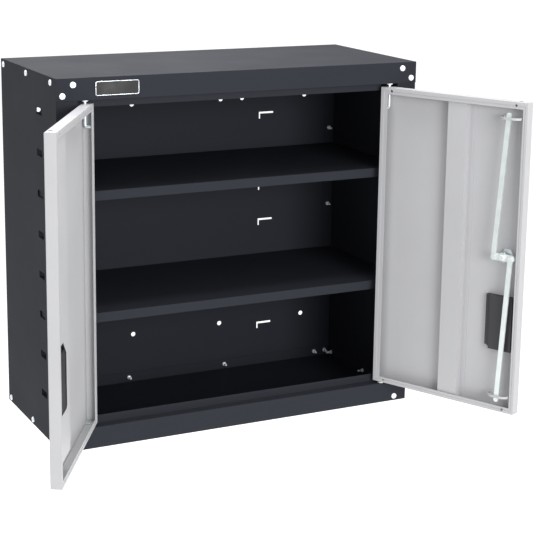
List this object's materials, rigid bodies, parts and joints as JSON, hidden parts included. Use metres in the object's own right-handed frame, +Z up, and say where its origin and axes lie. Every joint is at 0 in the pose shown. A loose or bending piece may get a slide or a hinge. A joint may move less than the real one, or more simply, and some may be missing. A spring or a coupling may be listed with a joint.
{
  "type": "hanging wall cabinet",
  "caption": "Wall-hung sheet-steel cabinet with two hinged doors, two shelves, recessed pulls and a key lock that drives two rods.",
  "frame": {"origin": "middle of the wall-hole pattern on the back face", "axes": "+X to the right seen from the front, +Y back into the wall, +Z up"},
  "size_m": [0.8643, 0.5687, 0.645],
  "materials": {
    "cabinet_paint": "dark charcoal powder coat, fine texture",
    "door_paint": "light grey powder coat, fine texture",
    "zinc": "bright zinc plate",
    "chrome": "polished",
    "black_plastic": "fine moulded grain",
    "nylon": "natural nylon",
    "badge": "gloss black with a silver rim, no lettering"
  },
  "bodies": {
    "cabinet": {"side_panel_left": "cabinet_paint", "side_panel_right": "cabinet_paint", "top_panel": "cabinet_paint", "bottom_panel": "cabinet_paint", "back_panel": "cabinet_paint", "shelf_upper": "cabinet_paint", "shelf_lower": "cabinet_paint", "header_badge": "badge", "side_bolts": "zinc", "side_nuts": "zinc", "front_bolts": "zinc", "front_nuts": "zinc", "back_bolts": "zinc", "back_nuts": "zinc", "hinge_bushes_upper": "nylon", "hinge_bushes_lower": "nylon"},
    "left_door": {"door_left_panel": "door_paint", "door_left_stiffener": "door_paint", "door_left_handle_cup": "black_plastic", "door_left_bolt_bracket": "door_paint", "door_left_lower_pin": "zinc"},
    "left_hinge_bolt": {"door_left_hinge_bolt": "zinc"},
    "right_door": {"door_right_panel": "door_paint", "door_right_stiffener": "door_paint", "door_right_handle_cup": "black_plastic", "door_right_bolt_bracket": "door_paint", "door_right_lower_pin": "zinc", "lock_cylinder": "chrome", "lock_nut": "zinc", "rod_guide_upper": "door_paint", "rod_guide_lower": "door_paint"},
    "right_hinge_bolt": {"door_right_hinge_bolt": "zinc"},
    "lock": {"lock_plug": "chrome", "lock_cam": "zinc", "cam_nut": "zinc", "rod_rivets": "zinc"},
    "upper_rod": {"lock_rod_upper": "zinc"},
    "lower_rod": {"lock_rod_lower": "zinc"}
  },
  "joints": [
    {"name": "left_door_hinge", "type": "hinge", "parent": "cabinet", "child": "left_door", "pos_m": [-0.2915, -0.299, 0], "axis": [0, 0, 1], "range_deg": [-9.5, 120.5]},
    {"name": "right_door_hinge", "type": "hinge", "parent": "cabinet", "child": "right_door", "pos_m": [0.2915, -0.299, 0], "axis": [0, 0, -1], "range_deg": [-14.6, 115.4]},
    {"name": "left_bolt_slide", "type": "slide", "parent": "left_door", "child": "left_hinge_bolt", "axis": [0, 0, -1], "range_m": [0, 0.012]},
    {"name": "right_bolt_slide", "type": "slide", "parent": "right_door", "child": "right_hinge_bolt", "axis": [0, 0, -1], "range_m": [0, 0.012]},
    {"name": "lock_turn", "type": "hinge", "parent": "right_door", "child": "lock", "pos_m": [0.40131, -0.53025, 0.004], "axis": [0.9033, 0.4289, 0], "range_deg": [0, 90]},
    {"name": "upper_rod_pivot", "type": "hinge", "parent": "lock", "child": "upper_rod", "pos_m": [0.37969, -0.52203, 0.004], "axis": [0.9033, 0.4289, 0], "range_deg": [-94.5, 0]},
    {"name": "lower_rod_pivot", "type": "hinge", "parent": "lock", "child": "lower_rod", "pos_m": [0.39402, -0.5522, 0.004], "axis": [0.9033, 0.4289, 0], "range_deg": [-94.5, 0]}
  ],
  "couplings": [
    {"joint": "upper_rod_pivot", "follows": "lock_turn", "ratio": -1.0411},
    {"joint": "lower_rod_pivot", "follows": "lock_turn", "ratio": -1.0407}
  ]
}
